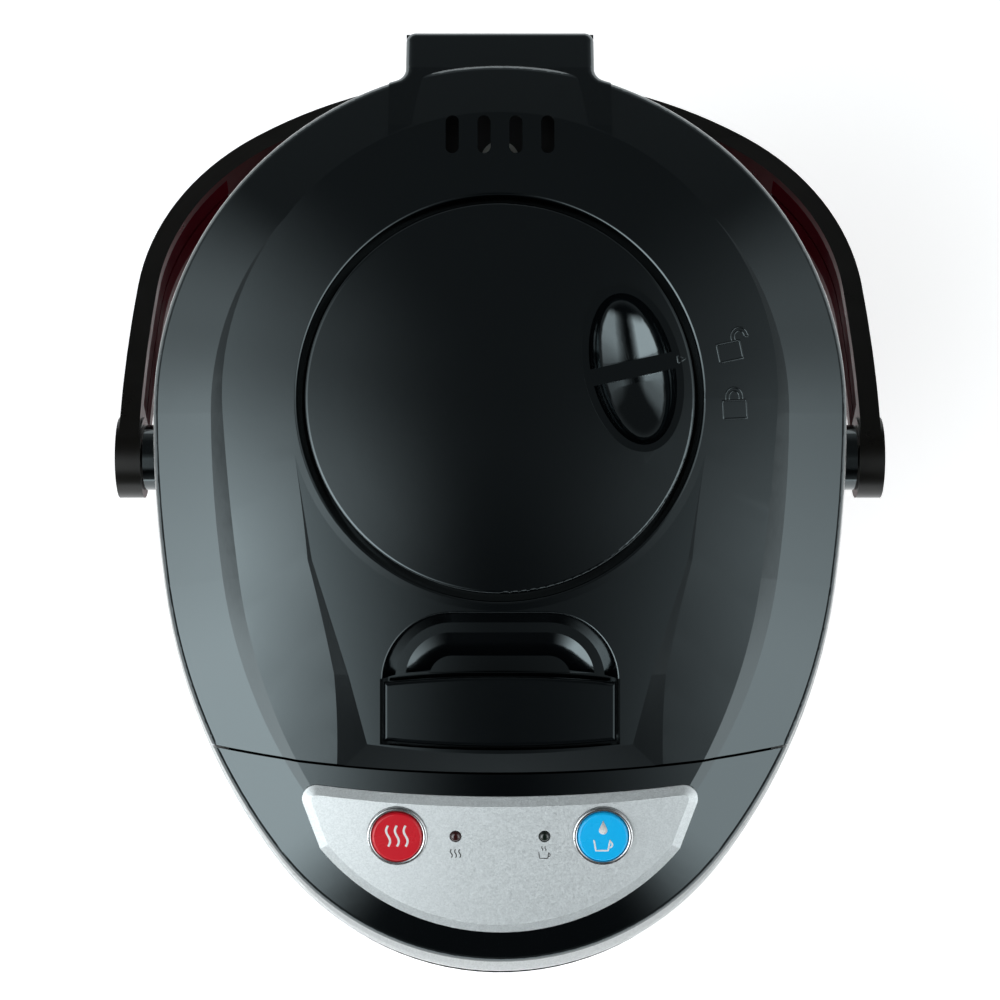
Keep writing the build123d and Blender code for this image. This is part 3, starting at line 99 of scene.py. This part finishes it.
def ease(tree, value, low, high):
    """0 below low, 1 above high, eased between."""
    node = tree.nodes.new("ShaderNodeMapRange")
    node.interpolation_type = "SMOOTHSTEP"
    node.inputs["From Min"].default_value = low
    node.inputs["From Max"].default_value = high
    tree.links.new(value, node.inputs["Value"])
    return node.outputs["Result"]


def blend_colours(tree, value, low, high):
    """Colour that runs between two with a value of 0 to 1."""
    node = tree.nodes.new("ShaderNodeMix")
    node.data_type = "RGBA"
    node.inputs["A"].default_value = (*low, 1)
    node.inputs["B"].default_value = (*high, 1)
    tree.links.new(value, node.inputs["Factor"])
    return node.outputs["Result"]


def scaled(colour, factor):
    """A colour made darker or lighter, kept within white."""
    return tuple(min(1, part * factor) for part in colour)


def bump(tree, shader, value, strength, depth_mm):
    """Bump from a value, chained onto whatever the shader has already."""
    node = tree.nodes.new("ShaderNodeBump")
    node.inputs["Strength"].default_value = strength
    node.inputs["Distance"].default_value = depth_mm * MM
    tree.links.new(value, node.inputs["Height"])
    if shader.inputs["Normal"].is_linked:
        tree.links.new(shader.inputs["Normal"].links[0].from_socket, node.inputs["Normal"])
    tree.links.new(node.outputs["Normal"], shader.inputs["Normal"])


def crown_across(tree, shader, radius):
    """Crowns faces that lie flat: their normals lean away from x = 0 as on a barrel of this radius."""
    geometry = tree.nodes.new("ShaderNodeNewGeometry")
    upright = axes(tree, geometry.outputs["True Normal"])[2]
    flat = spread(tree, upright, 0, 1, 0.9999, 0.99999)
    x = axes(tree, position(tree))[0]
    squared = maths(tree, "MULTIPLY", x, x)
    depth = -1 / (2 * radius)
    bump(tree, shader, maths(tree, "MULTIPLY", squared, flat), 1.0, depth / MM)


def moulded(
    name, colour, rough, grain=0.0, grain_scale=2500, vary=0.15, coat=0.0, ior=1.5, crown=0.0, tint=None
):
    """Moulded plastic or rubber: faint tone drift, fine smears in the gloss and an optional grain."""
    mat, tree, shader = new_material(name)
    drift = spread(tree, noise(tree, 14, 3), 0, 1)
    toned = blend_colours(tree, drift, scaled(colour, 1 - vary), scaled(colour, 1 + vary))
    tree.links.new(toned, shader.inputs["Base Color"])
    smear = noise(tree, 45, 4, (1, 1, 3), 0.6)
    tree.links.new(spread(tree, smear, rough * 0.85, rough * 1.2), shader.inputs["Roughness"])
    shader.inputs["IOR"].default_value = ior
    shader.inputs["Coat Weight"].default_value = coat
    shader.inputs["Coat Roughness"].default_value = 0.05
    if tint:
        shader.inputs["Specular Tint"].default_value = (*tint, 1)
    if crown:
        crown_across(tree, shader, crown)
    bump(tree, shader, noise(tree, 260, 2), 0.05, 0.06)
    if grain:
        bump(tree, shader, noise(tree, grain_scale, 2), grain, 0.08)
    return mat


def metal(name, colour, rough, brushed=(1, 1, 1), grain=0.1):
    """Metal with fine streaks along one axis, or a cast grain."""
    mat, tree, shader = new_material(name)
    shader.inputs["Metallic"].default_value = 1.0
    streak = noise(tree, 900, 4, brushed, 0.65)
    tone = spread(tree, streak, 0, 1)
    toned = blend_colours(tree, tone, scaled(colour, 0.88), scaled(colour, 1.08))
    tree.links.new(toned, shader.inputs["Base Color"])
    tree.links.new(spread(tree, streak, rough * 0.75, rough * 1.3), shader.inputs["Roughness"])
    bump(tree, shader, streak, grain, 0.03)
    return mat


def flake_paint(name, colour, flake, rough, metallic, coat):
    """Metallic paint: small flakes of another tone under a clear coat."""
    mat, tree, shader = new_material(name)
    cells = tree.nodes.new("ShaderNodeTexVoronoi")
    cells.inputs["Scale"].default_value = 2600
    tree.links.new(position(tree), cells.inputs["Vector"])
    pick = tree.nodes.new("ShaderNodeSeparateColor")
    tree.links.new(cells.outputs["Color"], pick.inputs["Color"])
    tone = spread(tree, pick.outputs["Red"], 0, 1, 0, 1)
    tree.links.new(blend_colours(tree, tone, colour, flake), shader.inputs["Base Color"])
    sheen = spread(tree, pick.outputs["Green"], rough * 0.8, rough * 1.2, 0, 1)
    tree.links.new(sheen, shader.inputs["Roughness"])
    shader.inputs["Metallic"].default_value = metallic
    shader.inputs["Coat Weight"].default_value = coat
    shader.inputs["Coat Roughness"].default_value = 0.05
    bump(tree, shader, noise(tree, 220, 2), 0.04, 0.05)
    return mat


def clear(name, colour):
    """Clear plastic with faint flow marks."""
    mat, tree, shader = new_material(name)
    flow = spread(tree, noise(tree, 60, 3, (1, 1, 0.3)), 0, 1)
    tree.links.new(blend_colours(tree, flow, scaled(colour, 0.94), colour), shader.inputs["Base Color"])
    tree.links.new(spread(tree, flow, 0.03, 0.06, 0, 1), shader.inputs["Roughness"])
    shader.inputs["Transmission Weight"].default_value = 0.92
    shader.inputs["IOR"].default_value = 1.49
    bump(tree, shader, noise(tree, 120, 2), 0.03, 0.05)
    return mat


# ------------------------------------------------------------------ materials
BLACK = (0.0016, 0.0021, 0.0026)
SHEEN = (0.84, 1.0, 1.05)
CROWN = 0.6
gloss_black = moulded("gloss_black", BLACK, 0.075, coat=0.25, ior=1.75, tint=SHEEN)
deck_black = moulded("deck_black", BLACK, 0.075, coat=0.25, ior=1.75, tint=SHEEN, crown=CROWN)
flap_black = moulded("flap_black", BLACK, 0.12, coat=0.1, ior=1.5, tint=SHEEN, crown=CROWN)
handle_black = moulded("handle_black", (0.0036, 0.0030, 0.0022), 0.3, ior=1.42)
satin_black = moulded("satin_black", (0.011, 0.011, 0.012), 0.42, grain=0.35)
collar_black = moulded("collar_black", (0.010, 0.010, 0.011), 0.35, grain=0.2)
wine_paint = flake_paint("wine_paint", (0.13, 0.006, 0.014), (0.30, 0.02, 0.035), 0.32, 0.55, 1.0)
maroon_plastic = moulded("maroon_plastic", (0.095, 0.004, 0.012), 0.5, grain=0.08, ior=1.06)
silver_paint = flake_paint("silver_paint", (0.64, 0.67, 0.68), (0.76, 0.79, 0.80), 0.42, 0.75, 0.25)
silver_trim = flake_paint("silver_trim", (0.72, 0.72, 0.72), (0.82, 0.82, 0.82), 0.5, 0.35, 0.0)
satin_chrome = metal("satin_chrome", (0.72, 0.72, 0.73), 0.16, (1, 1, 8), 0.03)
stainless = metal("stainless", (0.56, 0.55, 0.53), 0.26, (12, 12, 1), 0.12)
zinc = metal("zinc", (0.5, 0.5, 0.5), 0.35, grain=0.15)
cast = metal("cast", (0.52, 0.52, 0.52), 0.5, grain=0.5)
brass = metal("brass", (0.72, 0.55, 0.25), 0.25, (1, 6, 1), 0.1)
red_key = moulded("red_key", (0.66, 0.005, 0.018), 0.25, vary=0.08, coat=0.2)
blue_key = moulded("blue_key", (0.0, 0.50, 1.0), 0.25, vary=0.06, coat=0.2)
red_lens = moulded("red_lens", (0.035, 0.006, 0.006), 0.12, coat=1.0)
green_lens = moulded("green_lens", (0.006, 0.012, 0.008), 0.12, coat=1.0)
silicone = moulded("silicone", (0.62, 0.62, 0.58), 0.45, vary=0.05, grain=0.08)
rubber = moulded("rubber", (0.03, 0.03, 0.03), 0.7, grain=0.5, grain_scale=1500)
grey_plastic = moulded("grey_plastic", (0.16, 0.16, 0.17), 0.45, grain=0.15)
white_plastic = moulded("white_plastic", (0.66, 0.66, 0.63), 0.4, vary=0.05, grain=0.1)
board_green = moulded("board_green", (0.02, 0.13, 0.05), 0.35, grain=0.1)
heater_wrap = moulded("heater_wrap", (0.4, 0.33, 0.22), 0.6, grain=0.5, grain_scale=900)
clear_plastic = clear("clear_plastic", (0.86, 0.90, 0.92))
print_white = moulded("print_white", (0.78, 0.78, 0.78), 0.4, vary=0.04)
print_dark = moulded("print_dark", (0.02, 0.02, 0.022), 0.45, vary=0.1)

FINISH = {
    "base_housing": satin_black,
    "base_cover": satin_black,
    "foot_ring": rubber,
    "base_screws": zinc,
    "power_inlet": collar_black,
    "inlet_pins": brass,
    "power_board": board_green,
    "outer_case": wine_paint,
    "gauge_window": clear_plastic,
    "shoulder_housing": gloss_black,
    "hinge_pin": zinc,
    "handle_pins": zinc,
    "trim_ring": silver_trim,
    "pot_collar": collar_black,
    "inner_pot": stainless,
    "heater_plate": cast,
    "keep_warm_band": heater_wrap,
    "thermostats": grey_plastic,
    "pump_housing": white_plastic,
    "pump_rotor": white_plastic,
    "pump_motor": zinc,
    "suction_tube": silicone,
    "feed_hose": silicone,
    "riser_tube": clear_plastic,
    "outlet_hose": silicone,
    "spout": collar_black,
    "head_top": gloss_black,
    "control_panel": silver_paint,
    "button_bezels": satin_chrome,
    "reboil_button": red_key,
    "dispense_button": blue_key,
    "heating_led": red_lens,
    "keep_warm_led": green_lens,
    "panel_board": board_green,
    "lid_shell": deck_black,
    "lid_base": collar_black,
    "steam_duct": silicone,
    "inner_lid": stainless,
    "lid_seal": silicone,
    "lid_screws": zinc,
    "bellows": white_plastic,
    "return_spring": zinc,
    "press_piston": grey_plastic,
    "press_disk": gloss_black,
    "latch_lever": flap_black,
    "latch_pin": zinc,
    "latch_bolt": grey_plastic,
    "latch_spring": zinc,
    "handle_bail": handle_black,
    "handle_inner_cover": maroon_plastic,
}


def paint(obj, mat):
    """Gives a piece its one material."""
    obj.data.materials.clear()
    obj.data.materials.append(mat)


for name, mat in FINISH.items():
    paint(nodes[name], mat)


# ------------------------------------------------------------------ relief and print on the surfaces
# Millimetres: a piece is dropped from DROP_FROM onto the surface and sits SUNK deep in it.
DROP_FROM = 360
SUNK = 0.03
RIDGE_STEP = 0.6
RIDGE_SIDES = 4


def carrier(name):
    """Search tree of a CAD node's surface."""
    mesh = nodes[name].data
    corners = [vertex.co.copy() for vertex in mesh.vertices]
    return BVHTree.FromPolygons(corners, [tuple(face.vertices) for face in mesh.polygons])


def land(tree, x, y):
    """Point on a surface below (x, y) in millimetres, and the surface's normal there."""
    hit, normal, _, _ = tree.ray_cast(Vector((x, y, DROP_FROM)) * MM, Vector((0, 0, -1)))
    return hit, normal if normal.z > 0 else -normal


def mesh_piece(name, bm, mat, body):
    """Turns a bmesh into a piece that rides on a body."""
    bmesh.ops.recalc_face_normals(bm, faces=bm.faces)
    mesh = bpy.data.meshes.new(name)
    bm.to_mesh(mesh)
    bm.free()
    for face in mesh.polygons:
        face.use_smooth = True
    obj = bpy.data.objects.new(name, mesh)
    bpy.context.scene.collection.objects.link(obj)
    paint(obj, mat)
    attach(obj, body)


def resample(points, step, closed):
    """Points along a polyline about a step apart."""
    out = []
    ends = points[1:] + points[:1] if closed else points[1:]
    for a, b in zip(points, ends):
        parts = max(1, round(math.dist(a, b) / step))
        for k in range(parts):
            out.append((a[0] + (b[0] - a[0]) * k / parts, a[1] + (b[1] - a[1]) * k / parts))
    if not closed:
        out.append(points[-1])
    return out


def ridge(bm, tree, points, width, height, closed=False):
    """Half-round ridge that follows a surface along a line of points in millimetres."""
    path = resample(points, RIDGE_STEP, closed)
    last = len(path) - 1
    rings = []
    for i, (x, y) in enumerate(path):
        x0, y0 = path[i - 1] if closed or i > 0 else path[i]
        x1, y1 = path[(i + 1) % len(path)] if closed or i < last else path[i]
        length = math.hypot(x1 - x0, y1 - y0) or 1
        side = Vector((-(y1 - y0) / length, (x1 - x0) / length, 0))
        ring = []
        for k in range(RIDGE_SIDES + 1):
            angle = k / RIDGE_SIDES * math.pi
            off = side * (math.cos(angle) * width / 2)
            hit, normal = land(tree, x + off.x, y + off.y)
            ring.append(bm.verts.new(hit + normal * (math.sin(angle) * height - SUNK) * MM))
        rings.append(ring)
    following = rings[1:] + rings[:1] if closed else rings[1:]
    for a, b in zip(rings, following):
        for k in range(RIDGE_SIDES):
            bm.faces.new((a[k], a[k + 1], b[k + 1], b[k]))
    if not closed:
        bm.faces.new(rings[0])
        bm.faces.new(rings[-1])


def patch(bm, tree, outline, height):
    """Thin filled shape printed on a surface."""
    top = []
    low = []
    for x, y in outline:
        hit, normal = land(tree, x, y)
        top.append(bm.verts.new(hit + normal * height * MM))
        low.append(bm.verts.new(hit - normal * SUNK * MM))
    bm.faces.new(top)
    count = len(outline)
    for i in range(count):
        j = (i + 1) % count
        bm.faces.new((top[i], low[i], low[j], top[j]))


def arc_points(cx, cy, radius, start, end, count=12):
    """Points on an arc, angles in degrees."""
    angles = [math.radians(start + (end - start) * i / count) for i in range(count + 1)]
    return [(cx + radius * math.cos(a), cy + radius * math.sin(a)) for a in angles]


def placed(points, centre, angle=0):
    """Points turned about the origin and moved to a centre."""
    c, s = math.cos(math.radians(angle)), math.sin(math.radians(angle))
    return [(centre[0] + x * c - y * s, centre[1] + x * s + y * c) for x, y in points]


# ------------------------------------------------------------------ view
# The camera looks straight down from EYE above PIXEL_PLANE, where a pixel covers PIXEL millimetres.
SENSOR = 36
PICTURE = 1000
PIXEL = 0.314
PIXEL_PLANE = 262
EYE = 850
VIEW_Y = -26.7


def at_pixel(pixel, height):
    """Where the point seen at a pixel of the camera's picture lies at a height, in millimetres."""
    size = PIXEL * (1 - (height - PIXEL_PLANE) / EYE)
    return (pixel[0] - PICTURE / 2) * size, VIEW_Y + (PICTURE / 2 - pixel[1]) * size


camera_data = bpy.data.cameras.new("camera")
camera_data.sensor_width = SENSOR
camera_data.lens = SENSOR * EYE / (PICTURE * PIXEL)
camera_data.clip_end = 20
camera = bpy.data.objects.new("camera", camera_data)
camera.location = Vector((0, VIEW_Y, PIXEL_PLANE + EYE)) * MM
bpy.context.scene.collection.objects.link(camera)
bpy.context.scene.camera = camera


# ------------------------------------------------------------------ signs moulded into the lid
# Millimetres about the padlock's centre; a ridge is given by its width and height.
LOCK_HALF = 3.6
LOCK_FOOT = -4.4
LOCK_TOP = 1.2
LOCK_RIDGE = (0.75, 0.4)
SHACKLE_RIDGE = (0.6, 0.36)
SHACKLE_RADII = (2.6, 1.5)
SHACKLE_CENTRE = 2.5
SHACKLE_SWING = 3.9
SHACKLE_END = 1.8
OPEN_LOCK_PIXEL = (729, 346)
CLOSED_LOCK_PIXEL = (735, 404)
LOCK_Z = 288
ARROW_PIXEL = (681, 359)
ARROW_Z = 289
ARROW_RIDGE = (0.5, 0.15)

lid_top = carrier("lid_shell")
disk_top = carrier("press_disk")


def padlock(bm, centre, angle, open_shackle):
    """Outline of a padlock: a squat body and a round shackle, swung aside when open."""
    half = LOCK_HALF
    body = [(-half, LOCK_FOOT), (half, LOCK_FOOT), (half, LOCK_TOP), (-half, LOCK_TOP)]
    ridge(bm, lid_top, placed(body, centre, angle), *LOCK_RIDGE, True)
    shift = SHACKLE_SWING if open_shackle else 0.0
    end = SHACKLE_END if open_shackle else LOCK_TOP
    for radius in SHACKLE_RADII:
        hoop = [(shift - radius, LOCK_TOP)] + arc_points(shift, SHACKLE_CENTRE, radius, 180, 0)
        hoop.append((shift + radius, end))
        ridge(bm, lid_top, placed(hoop, centre, angle), *SHACKLE_RIDGE)
    if open_shackle:
        tip = [(shift + radius, end) for radius in reversed(SHACKLE_RADII)]
        ridge(bm, lid_top, placed(tip, centre, angle), *SHACKLE_RIDGE)


relief = bmesh.new()
padlock(relief, at_pixel(OPEN_LOCK_PIXEL, LOCK_Z), 12, True)
padlock(relief, at_pixel(CLOSED_LOCK_PIXEL, LOCK_Z), 3, False)
mesh_piece("lock_marks", relief, gloss_black, "lid")

relief = bmesh.new()
arrow = [(1.6, 0), (-1.1, 1.2), (-1.1, -1.2)]
ridge(relief, disk_top, placed(arrow, at_pixel(ARROW_PIXEL, ARROW_Z), 10), *ARROW_RIDGE, True)
mesh_piece("turn_mark", relief, gloss_black, "disk")

# ------------------------------------------------------------------ signs printed on the panel and keys
KEY_X = 31.7
KEY_Y = -130.0
HEATING_X = -13.7
KEEP_WARM_X = 13.5
STROKE_HEIGHT = 0.09
CUP_HEIGHT = 0.08


def waves(bm, tree, centre, height, spacing, width, count=3):
    """Heat sign: upright wavy strokes side by side."""
    samples = 16
    for k in range(count):
        x = (k - (count - 1) / 2) * spacing
        line = []
        for i in range(samples + 1):
            t = i / samples
            line.append((x + math.sin(t * 2 * math.pi) * spacing * 0.22, (t - 0.5) * height))
        ridge(bm, tree, placed(line, centre), width, STROKE_HEIGHT)


def drop_outline(width, height):
    """Outline of a water drop, point up."""
    belly = arc_points(0, -height * 0.12, width / 2, 35, -215, 20)
    return [(0, height * 0.62)] + belly


def cup(bm, tree, centre, width, height, line):
    """Cup sign: a tapered cup with a handle."""
    w, h = width / 2, height / 2
    body = [(-w, h), (-w * 0.75, -h), (w * 0.75, -h), (w, h)]
    ridge(bm, tree, placed(body, centre), line, CUP_HEIGHT)
    loop = arc_points(w * 0.9, h * 0.1, h * 0.55, -80, 80)
    ridge(bm, tree, placed(loop, centre), line, CUP_HEIGHT)


panel_top = carrier("control_panel")
red_top = carrier("reboil_button")
blue_top = carrier("dispense_button")

ink = bmesh.new()
waves(ink, red_top, (-KEY_X, KEY_Y), 6.6, 2.7, 0.8)
mesh_piece("reboil_sign", ink, print_white, "reboil_key")

ink = bmesh.new()
patch(ink, blue_top, placed(drop_outline(2.6, 4.2), (KEY_X, KEY_Y + 2.3)), CUP_HEIGHT)
cup(ink, blue_top, (KEY_X - 0.3, KEY_Y - 2.9), 5.0, 3.4, 0.6)
mesh_piece("dispense_sign", ink, print_white, "dispense_key")

ink = bmesh.new()
waves(ink, panel_top, (HEATING_X, KEY_Y - 5.6), 2.6, 1.3, 0.42)
cup(ink, panel_top, (KEEP_WARM_X, KEY_Y - 6.2), 3.2, 1.9, 0.36)
waves(ink, panel_top, (KEEP_WARM_X, KEY_Y - 4.1), 1.3, 0.95, 0.32, 2)
mesh_piece("lamp_signs", ink, print_dark, "pot_body")


# ------------------------------------------------------------------ floor
FLOOR_HALF = 4
FLOOR_Z = -0.2
FLOOR_GLOW = 0.62


def seen_by(tree, rays):
    """1 for the named kinds of ray, 0 for others."""
    path = tree.nodes.new("ShaderNodeLightPath")
    total = path.outputs[rays[0]]
    for ray in rays[1:]:
        total = maths(tree, "MAXIMUM", total, path.outputs[ray])
    return total


def floor_material():
    """Pale matt floor that shows white where nothing shades it."""
    mat, tree, shader = new_material("floor_pale")
    tone = spread(tree, noise(tree, 3, 3), 0, 1)
    pale = blend_colours(tree, tone, (0.80, 0.80, 0.80), (0.84, 0.84, 0.84))
    tree.links.new(pale, shader.inputs["Base Color"])
    shader.inputs["Roughness"].default_value = 0.9
    direct = seen_by(tree, ("Is Camera Ray", "Is Glossy Ray", "Is Transmission Ray"))
    shader.inputs["Emission Color"].default_value = (1, 1, 1, 1)
    tree.links.new(maths(tree, "MULTIPLY", direct, FLOOR_GLOW), shader.inputs["Emission Strength"])
    return mat


sheet = bmesh.new()
bmesh.ops.create_grid(sheet, x_segments=8, y_segments=8, size=FLOOR_HALF)
floor_mesh = bpy.data.meshes.new("floor")
sheet.to_mesh(floor_mesh)
sheet.free()
floor = bpy.data.objects.new("floor", floor_mesh)
floor.location = (0, 0, FLOOR_Z * MM)
bpy.context.scene.collection.objects.link(floor)
paint(floor, floor_material())

# ------------------------------------------------------------------ light
# Every level belongs to a direction (x to the right, y to the back, z up, length 1).
# A pair gives where a level starts to change and where it has changed.
ROOM_COLOUR = (0.93, 0.985, 1.0)
SIDES = (-0.12, 0.12)
LEFT_LEVEL = 3.6
RIGHT_LEVEL = 2.2
LEFT_RAMP = 0.31
RIGHT_RAMP = 0.45
RAMP_POWER = 2.35
BOX_END = (0.88, 0.93)
BOX_FRONT = (-0.75, -0.55)
BOX_FOOT = (0.33, 0.45)
MIDDLE_FADE = (-0.42, 0.25)
MIDDLE_SHARE = 0.75
BACK_FADE = (0.25, 0.8)
BACK_SHARE = 0.25
STRIP_TOP = (0.06, 0.085)
STRIP_LEVEL = 2.1
STRIP_RIGHT_DROP = 0.32
ZENITH_STEP = (-0.3, 0.0)
ZENITH_FRONT = 0.012
ZENITH_RISE = 0.05
WALL_FOOT = (0.6, -0.1)
WALL_LEVEL = 0.25


def room_strength(tree):
    """Two softboxes left and right that fade to the back, a strip at the horizon, and a dim room."""

    def times(a, b):
        return maths(tree, "MULTIPLY", a, b)

    def plus(a, b):
        return maths(tree, "ADD", a, b)

    def rest(value):
        return maths(tree, "SUBTRACT", 1.0, value)

    direction = tree.nodes.new("ShaderNodeTexCoord").outputs["Generated"]
    x, y, z = axes(tree, direction)
    across = maths(tree, "ABSOLUTE", x)
    right = ease(tree, x, *SIDES)
    ramp = plus(times(right, RIGHT_RAMP - LEFT_RAMP), LEFT_RAMP)
    swell = maths(tree, "MINIMUM", maths(tree, "DIVIDE", across, ramp), 1.0)
    inner = maths(tree, "POWER", swell, RAMP_POWER)
    outer = rest(ease(tree, across, *BOX_END))
    level = maths(tree, "SUBTRACT", LEFT_LEVEL, times(right, LEFT_LEVEL - RIGHT_LEVEL))
    back = maths(tree, "DIVIDE", y, plus(times(across, 0.8), 0.2))
    fade = times(rest(ease(tree, back, *MIDDLE_FADE)), MIDDLE_SHARE)
    fade = plus(fade, times(rest(ease(tree, back, *BACK_FADE)), BACK_SHARE))
    box = times(times(inner, outer), times(fade, ease(tree, y, *BOX_FRONT)))
    box = times(times(box, ease(tree, z, *BOX_FOOT)), level)
    strip = times(rest(ease(tree, z, *STRIP_TOP)), times(fade, STRIP_LEVEL))
    strip = times(strip, rest(times(right, STRIP_RIGHT_DROP)))
    zenith = plus(times(ease(tree, y, *ZENITH_STEP), ZENITH_RISE), ZENITH_FRONT)
    walls = times(ease(tree, z, *WALL_FOOT), WALL_LEVEL)
    return plus(plus(plus(box, strip), zenith), walls)


world = bpy.data.worlds.new("studio")
bpy.context.scene.world = world
world.use_nodes = True
world_tree = world.node_tree
world_tree.nodes.clear()
out = world_tree.nodes.new("ShaderNodeOutputWorld")
room = world_tree.nodes.new("ShaderNodeBackground")
room.inputs["Color"].default_value = (*ROOM_COLOUR, 1)
world_tree.links.new(room_strength(world_tree), room.inputs["Strength"])
backdrop = world_tree.nodes.new("ShaderNodeBackground")
backdrop.inputs["Color"].default_value = (1, 1, 1, 1)
backdrop.inputs["Strength"].default_value = 1.0
choose = world_tree.nodes.new("ShaderNodeMixShader")
world_tree.links.new(seen_by(world_tree, ("Is Camera Ray", "Is Transmission Ray")), choose.inputs["Fac"])
world_tree.links.new(room.outputs["Background"], choose.inputs[1])
world_tree.links.new(backdrop.outputs["Background"], choose.inputs[2])
world_tree.links.new(choose.outputs["Shader"], out.inputs["Surface"])

bpy.context.scene.view_settings.view_transform = "Standard"
